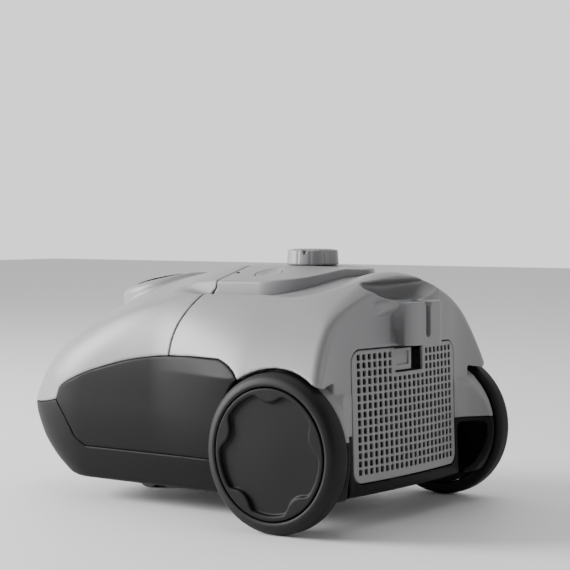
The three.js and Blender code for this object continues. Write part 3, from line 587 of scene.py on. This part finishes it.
def scoop_field(g, grow=0.0):
    """Finger scoop in front of the shelf, under the rear edge of the top."""
    low = np.minimum(g.z - 214, 0) / (19.5 + grow)
    oval = np.sqrt((g.x / (63 + grow)) ** 2 + ((g.y - 43) / (27 + grow)) ** 2 + low**2) - 1
    oval = even(np.broadcast_to(oval * 24, g.shape), g.step)
    return meet(oval, polygon(SCOOP, g.y[0], g.z[0])[None] - grow, 2)


def grille_outline(g, grow):
    middle = (GRILLE_LOW + GRILLE_HIGH) / 2
    high = (GRILLE_HIGH - GRILLE_LOW) / 2
    return rounded_box(g.x, g.z - middle, GRILLE_HALF + grow, high + grow, 11 + grow)


def make_housing():
    g = Grid(0, 146, -144, 68, 60, 230, 1.25, half=True)
    top = housing_top(g)
    body = body_field(g, top)
    field = meet(shell(body), -seam_field(g, SEAM), 0.6)
    field = meet(field, -dark_field(g, 0), 0.6)
    roof = g.z - top
    tray = meet(np.maximum(deck_outline(g, -1.4), roof + 2.2), 194.4 - g.z)
    tray = np.maximum(tray, -seam_field(g, SEAM))
    field = join(field, tray)
    inside = np.maximum(walls_field(g), roof)
    field = join(field, meet(scoop_field(g, WALL), inside))
    shelf = np.sqrt((g.x / 60) ** 2 + ((g.y - 36) / 21.5) ** 2) - 1
    shelf = even(np.broadcast_to(shelf * 21.5, g.shape), g.step)
    under = SHELF_TOP - SHELF_THICK - 0.8 * np.maximum(54 - g.y, 0) * smooth(g.y, 38, 41)
    field = join(field, meet(shelf, np.maximum(under - g.z, g.z - SHELF_TOP), 1.6))
    floor = np.maximum(slab(g.y, 37.4, 40), np.abs(g.x) - 43.6)
    field = join(field, np.maximum(floor, slab(g.z, GRILLE_HIGH + SEAM, SHELF_TOP - 2)))
    field = cut(field, scoop_field(g), 0.9)
    field = cut(field, np.maximum(deck_outline(g, -WALL - 1.2), 197 - g.z), 0.6)
    slot = meet(np.abs(g.x) - 14, slab(g.z, 158, 200))
    field = cut(field, meet(slot, 40 - g.y), 0.4)
    field = cut(field, meet(grille_outline(g, SEAM), 22 - g.y), 0.6)
    belongs(surface("rear_housing_shell", g, field, light_shell), "body", "light_shell", "rear_housing")


def make_bracket():
    g = Grid(0, 35, 36, 71, 152, 198, 0.6, half=True)
    side = polygon([[40.4, BOSS_LOW], [BOSS_REAR, BOSS_LOW], [BOSS_REAR - 0.6, SHELF_TOP],
                    [40.4, SHELF_TOP]], g.y[0], g.z[0])[None]
    root = 17 + 0.395 * (g.z - 155)
    half = root + (28.5 - root) * np.clip((g.y - 44) / 15, 0, 1)
    plan = meet((np.abs(g.x) - half) * 0.8, g.y - BOSS_REAR, 9)
    field = meet(side, plan, 1.4)
    slot = join(meet(np.abs(g.x) - SLOT_HALF, SLOT_BOTTOM - g.z),
                np.hypot(g.x, g.z - SLOT_BOTTOM) - SLOT_HALF)
    mouth = np.abs(g.x) - SLOT_HALF - 0.6 * np.maximum(g.z - (SHELF_TOP - 4), 0)
    field = cut(field, meet(np.minimum(slot, np.maximum(mouth, 180 - g.z)), 45 - g.y), 0.7)
    block = surface("parking_bracket_block", g, field, light_shell)
    belongs(block, "body", "light_shell", "parking_bracket")


# ------------------------------------------------------------------ chassis and side panels
def panel_zone(g, grow):
    ys = np.array([-287 - grow, -271.5 - grow, -259 - grow, -247, -20, -20, -287 - grow])
    zs = np.array([98, 79.5, 60, PANEL_FOOT - grow, PANEL_FOOT - grow, 170, 170])
    return np.maximum(polygon(np.column_stack([ys, zs]), g.y[0], g.z[0])[None], 60 - np.abs(g.x))


def pocket_field(g, grow):
    """Pocket beside the grille, open to the rear."""
    plan = meet(rounded_box(np.abs(g.x) - POCKET_X, g.z - POCKET_Z, 15 + grow, 26.5 + grow, 6),
                wheel_field(g) - 59.5 - 0.5 * grow, 4)
    return meet(plan, POCKET_FRONT - grow - g.y, 2)


def make_chassis():
    g = Grid(0, 130, -366, 72, 18, 148, 1.25, half=True)
    body = body_field(g, lid_top(g))
    field = meet(shell(body), dark_field(g, 0.3), 0.4)
    well = np.hypot(g.x, g.y - CASTER_Y)
    field = join(field, np.maximum(well - 32.6, slab(g.z, 22, 38.6)))
    box = np.maximum(pocket_field(g, WALL), g.y - 62)
    field = join(field, np.maximum(box, body + 0.2))
    motor = np.hypot(g.x, g.z - MOTOR_Z)
    front = np.maximum(np.maximum(slab(g.y, -95, -89), np.abs(g.x) - 46), slab(g.z, 22, 66))
    back = np.maximum(np.maximum(slab(g.y, 2.4, 7.6), np.abs(g.x) - 30), slab(g.z, 22, 70))
    field = join(field, np.minimum(cut(front, motor - 58.4), cut(back, motor - 16.4)))
    for y, seat in ((-225, 25), (12, 29)):
        post = np.hypot(g.x - 70, g.y - y)
        field = join(field, np.maximum(post - 6.5, slab(g.z, seat - 2.5, seat + 14)), 1)
        field = cut(field, np.maximum(post - 4.2, g.z - seat - 0.4))
        field = cut(field, np.maximum(post - 2.2, slab(g.z, seat, seat + 25)))
    field = cut(field, panel_zone(g, 0.15), 0.3)
    field = cut(field, pocket_field(g, 0), 0.8)
    field = cut(field, np.maximum(well - 30, g.z - 36), 0.8)
    field = cut(field, well - 4.3)
    field = cut(field, meet(grille_outline(g, SEAM), 22 - g.y), 0.5)
    field = cut(field, np.maximum(wheel_field(g) - 6.4, 80 - g.x))
    belongs(surface("chassis_shell", g, field, dark_shell), "body", "dark_shell", "lower_chassis")


def make_side_panels():
    g = Grid(58, 140, -300, -24, 48, 150, 1.25)
    body = body_field(g, lid_top(g))
    field = meet(shell(body), dark_field(g, 0.3), 0.5)
    field = meet(field, panel_zone(g, 0), 0.4)
    field = cut(field, wheel_field(g) - WELL_RADIUS - 0.35, 0.8)
    left = surface("side_panel_skin_left", g, field, dark_shell)
    right = mirrored(left, "side_panel_skin_right")
    belongs(left, "body", "dark_shell", "side_panel_left")
    belongs(right, "body", "dark_shell", "side_panel_right")


# ------------------------------------------------------------------ control deck
def make_deck():
    g = Grid(-76, 76, -136, 8, 190, 230, 0.8)
    top = top_height(g.x, g.y)
    roof = np.broadcast_to(g.z - top, g.shape)
    outer = meet(deck_outline(g), roof, 1.2)
    field = np.maximum(shell(outer), -outer - WALL)
    field = meet(field, -seam_field(g, SEAM), 0.5)
    field = meet(field, housing_top(g) - 0.5 - g.z, 0.4)
    for side in (1, -1):
        c, s = math.cos(BUTTON_TILT), math.sin(BUTTON_TILT) * side
        u = (g.x - side * BUTTON_X) * c - (g.z - BUTTON_Z) * s
        field = cut(field, np.hypot(u, g.y - BUTTON_Y) - BUTTON_RADIUS - 0.5, 0.6)
    field = cut(field, np.hypot(g.x, g.y - KNOB_Y) - 4.6)
    field = cut(field, np.hypot(g.x - BUTTON_X, g.y + 110.5) - 2.2, 0.3)
    belongs(surface("control_deck_shell", g, field, light_shell), "body", "light_shell", "control_deck")


def make_buttons():
    profile = rounded([[0.01, -14], [3.4, -14], [3.4, -4], [BUTTON_RADIUS, -4], [BUTTON_RADIUS, 0],
                       [BUTTON_RADIUS - 1.6, 0.1], [6, -0.8], [0.01, -1.1]], 0.6)
    for side, body in ((1, "power"), (-1, "rewind")):
        made = spin(f"{body}_button_cap", profile, (0, 0, 0), "z", light_shell, 96)
        middle = Vector((side * BUTTON_X, BUTTON_Y, BUTTON_Z)) * 0.001
        lean = Matrix.Rotation(side * BUTTON_TILT, 4, "Y")
        back = Matrix.Translation((0, -AXLE_Y, 0))
        made.data.transform(Matrix.Translation((0, AXLE_Y, 0)) @ Matrix.Translation(middle) @ lean @ back)
        belongs(made, body, "light_shell", f"{body}_button")


def make_knob():
    g = Grid(-27, 27, KNOB_Y - 27, KNOB_Y + 27, 214, 243, 0.5)
    reach = np.hypot(g.x, g.y - KNOB_Y)
    angle = np.arctan2(g.y - KNOB_Y, g.x)
    ribs = 0.35 * np.maximum(np.cos(angle * 12), 0) ** 6
    side = reach - (KNOB_RADIUS - 0.07 * (g.z - KNOB_LOW)) + ribs
    field = meet(side, slab(g.z, KNOB_LOW, KNOB_HIGH), 1.6)
    bumps = 0.3 * np.cos(angle * 24)
    ring = np.hypot(reach - 17.4, g.z - 239.1) - 0.8 - np.maximum(bumps, 0)
    field = join(field, ring, 0.4)
    field = join(field, np.maximum(reach - 4, slab(g.z, 216, 226)))
    field = cut(field, np.maximum(reach - 3.1, g.z - 222))
    turn = 0.27
    u = g.x * math.cos(turn) + (g.y - KNOB_Y) * math.sin(turn)
    v = (g.y - KNOB_Y) * math.cos(turn) - g.x * math.sin(turn)
    notch = np.maximum(np.abs(v) * 0.85 - (g.z - 234.4) * 0.52, 19 - u)
    field = cut(field, notch, 0.4)
    belongs(surface("suction_knob_cap", g, field, light_shell), "knob", "light_shell", "suction_knob")


# ------------------------------------------------------------------ exhaust grille
def make_grille():
    """Perforated door: its holes widen inwards and stay clear of the notch at its top."""
    g = Grid(0, 86, 38, 52, 34, 156, 0.65, half=True)
    back = REAR_FACE - REAR_BOW * g.x**2 + REAR_LEAN * (GRILLE_HIGH - g.z) - g.y
    field = meet(slab(back, 0, GRILLE_THICK), grille_outline(g, 0), 0.7)
    notch = meet(np.abs(g.x) - 23, 132 - g.z, 2)
    field = cut(field, notch, 0.5)
    pitch_x, pitch_z = 7.55, 7.1
    low, rows = 49.0, 15
    column = np.abs(g.x - np.round(g.x / pitch_x) * pitch_x)
    row = np.clip(np.round((g.z - low) / pitch_z), 0, rows - 1)
    depth = np.maximum(back - 0.9, 0)
    hole = rounded_box(column, g.z - low - row * pitch_z, 2.2, 2.5, 0.9) - 0.35 * depth
    inside = np.abs(g.x) - 10.5 * pitch_x
    hole = np.maximum(np.maximum(hole, inside), -meet(np.abs(g.x) - 28.2, 128.4 - g.z))
    field = cut(field, hole, 0.35)
    tab = np.maximum(np.maximum(np.abs(np.abs(g.x) - 50) - 6, slab(g.y, 41, 44.6)), slab(g.z, 39.4, 42.5))
    field = join(field, tab)
    door = surface("exhaust_grille_door", g, field, light_shell)
    belongs(door, "grille_door", "light_shell", "exhaust_grille")


# ------------------------------------------------------------------ wheels
def make_hub_caps():
    g = Grid(142, 151, -58, 58, AXLE_Z - 58, AXLE_Z + 58, 0.7)
    reach = wheel_field(g)
    rim = 51.6 - reach
    for k in range(5):
        angle = math.pi / 2 + k * 2 * math.pi / 5
        bite = np.hypot(g.y - 61 * math.cos(angle), g.z - AXLE_Z - 61 * math.sin(angle)) - 17
        rim = join(rim, bite, 4)
    raised = meet(rim, g.x - 149.3, 1.8)
    dish = g.x - (145.6 + 0.5 * smooth(reach, 44, 0))
    field = join(raised, dish, 1.6)
    field = meet(field, np.maximum(reach - 56.4, 143.2 - g.x), 0.8)
    left = surface("hub_cap_face_left", g, field, wheel_plastic)
    right = mirrored(left, "hub_cap_face_right")
    belongs(left, "wheel_left", "dark_shell", "hub_cap_left")
    belongs(right, "wheel_right", "dark_shell", "hub_cap_right")


def make_wheels():
    tread = rounded([[57.4, 127.4], [66, 127.4], [69, 131], [69, 141], [68, 145], [64.6, 148.2],
                     [60, 149.4], [57.6, 148.8]], 2.2)
    rim = rounded([[6.5, 128], [13, 128], [13, 131], [52, 131], [52, 127.4], [57, 127.4],
                   [57, 142.8], [52, 142.8], [52, 134], [13, 134], [13, 138], [6.5, 138]], 0.8)
    for side, name in ((1, "left"), (-1, "right")):
        for part, profile, material, slot in (("tyre", tread, tyre_rubber, "tyre"),
                                              ("wheel_rim", rim, black_plastic, "black_plastic")):
            placed = profile * np.array([1, side])
            made = spin(f"{part}_round_{name}", placed, (0, 0, AXLE_Z), "x", material, 160)
            belongs(made, f"wheel_{name}", slot, f"{part}_{name}")


# ------------------------------------------------------------------ dust bag
def make_dust_bag():
    """Filled fleece bag: a soft block with bulges and a few folds, inside its chamber."""
    g = Grid(0, 76, -314, -126, 49, 160, 1.5, half=True)
    plan = rounded_box(g.x, g.y + 220, 73.5, 91.5, 36)
    roof = polygon([[-330, 118], [-250, 157.5], [-120, 157.5], [-120, 20], [-330, 20]], g.y[0], g.z[0])[None]
    field = meet(meet(plan, roof, 14), 51.5 - g.z, 16)
    folds = 0.9 * np.sin(g.y * 0.11 + 0.6 * np.sin(g.x * 0.09)) + 0.6 * np.sin(g.x * 0.16 + g.z * 0.12)
    made = surface("dust_bag_fleece", g, field + 1.4 + folds, bag_fleece)
    belongs(made, "body", "bag_paper", "dust_bag")


# ------------------------------------------------------------------ carried-over CAD pieces
NODE_LOOKS = {
    black_plastic: ("exhaust_frame", "hose_socket", "cord_outlet", "potentiometer", "caster_fork"),
    soft_rubber: ("inlet_seal", "lid_seal", "front_mount", "rear_mount", "brake_roller", "caster_wheel"),
    inner_plastic: ("bag_chamber", "filter_frame", "fan_shroud", "reel_drum", "reel_axle", "brake_lever"),
    white_plastic: ("bag_holder",),
    light_shell: ("grille_latch",),
    kraft_card: ("bag_collar",),
    filter_paper: ("exhaust_paper",),
    open_foam: ("filter_foam",),
    bare_steel: ("impeller", "motor_shaft", "stator_can", "spring_case", "power_spring", "rewind_spring",
                 "axle_stub_left", "axle_stub_right", "axle_clip_left", "axle_clip_right", "caster_axle",
                 "base_screw_1", "base_screw_2", "base_screw_3", "base_screw_4"),
    wound_copper: ("armature",),
    board_lacquer: ("control_board",),
    lamp_red: ("power_lamp",),
}


def dress_nodes():
    for material, names in NODE_LOOKS.items():
        for name in names:
            node = bpy.data.objects[name]
            node.data.materials.clear()
            node.data.materials.append(material)


# ------------------------------------------------------------------ set
BACKDROP_SIDE = (-0.58, -0.81, 0.08)
BACKDROP_FALL = {"From Min": -0.3, "From Max": 0.85, "To Min": 0.19, "To Max": 1.35}
LIGHTS = [
    # name, place, aim, size in metres, power in watts
    ("key", (1.35, -2.1, 0.95), (0, -0.05, 0.12), 1.5, 165),
    ("top", (0.1, 0.1, 2.4), (0, 0, 0.1), 1.6, 9),
    ("rear_side", (-0.35, 2.5, 0.9), (0, 0.15, 0.12), 1.2, 13),
]
CAMERA_PLACE = (1.29006, 0.85607 + AXLE_Y, 0.2682)
CAMERA_AZIMUTH = 126.3
CAMERA_PITCH = 2.24
CAMERA_LENS = 107.37


def area_light(name, place, aim, size, power):
    data = bpy.data.lights.new(name, "AREA")
    data.shape = "DISK"
    data.size = size
    data.energy = power
    made = bpy.data.objects.new(name, data)
    made.location = place
    made.rotation_euler = (Vector(aim) - Vector(place)).to_track_quat("-Z", "Y").to_euler()
    bpy.context.scene.collection.objects.link(made)


def make_set():
    bpy.ops.mesh.primitive_plane_add(size=14, location=(0, 0, 0))
    floor = bpy.context.object
    floor.name = "studio_floor"
    floor.data.materials.append(moulded("pale_floor", (0.86, 0.86, 0.86), 0.6, 60, 0.0001, 0.01))

    world = bpy.data.worlds.new("studio")
    world.use_nodes = True
    nodes, links = world.node_tree.nodes, world.node_tree.links
    where = nodes.new("ShaderNodeTexCoord")
    facing = nodes.new("ShaderNodeVectorMath")
    facing.operation = "DOT_PRODUCT"
    facing.inputs[1].default_value = BACKDROP_SIDE
    links.new(where.outputs["Generated"], facing.inputs[0])
    fall = nodes.new("ShaderNodeMapRange")
    fall.interpolation_type = "SMOOTHSTEP"
    for socket, value in BACKDROP_FALL.items():
        fall.inputs[socket].default_value = value
    links.new(facing.outputs["Value"], fall.inputs["Value"])
    links.new(fall.outputs["Result"], nodes["Background"].inputs["Strength"])
    nodes["Background"].inputs["Color"].default_value = (1, 1, 1, 1)
    bpy.context.scene.world = world

    for light in LIGHTS:
        area_light(*light)

    azimuth, pitch = math.radians(CAMERA_AZIMUTH), math.radians(CAMERA_PITCH)
    data = bpy.data.cameras.new("view")
    data.sensor_width = 36
    data.lens = CAMERA_LENS
    camera = bpy.data.objects.new("view", data)
    camera.location = CAMERA_PLACE
    level = math.cos(pitch)
    ahead = Vector((-math.sin(azimuth) * level, math.cos(azimuth) * level, -math.sin(pitch)))
    camera.rotation_euler = ahead.to_track_quat("-Z", "Y").to_euler()
    bpy.context.scene.collection.objects.link(camera)
    bpy.context.scene.camera = camera


make_set()
make_lid()
make_housing()
make_bracket()
make_chassis()
make_side_panels()
make_deck()
make_buttons()
make_knob()
make_grille()
make_hub_caps()
make_wheels()
make_dust_bag()
dress_nodes()
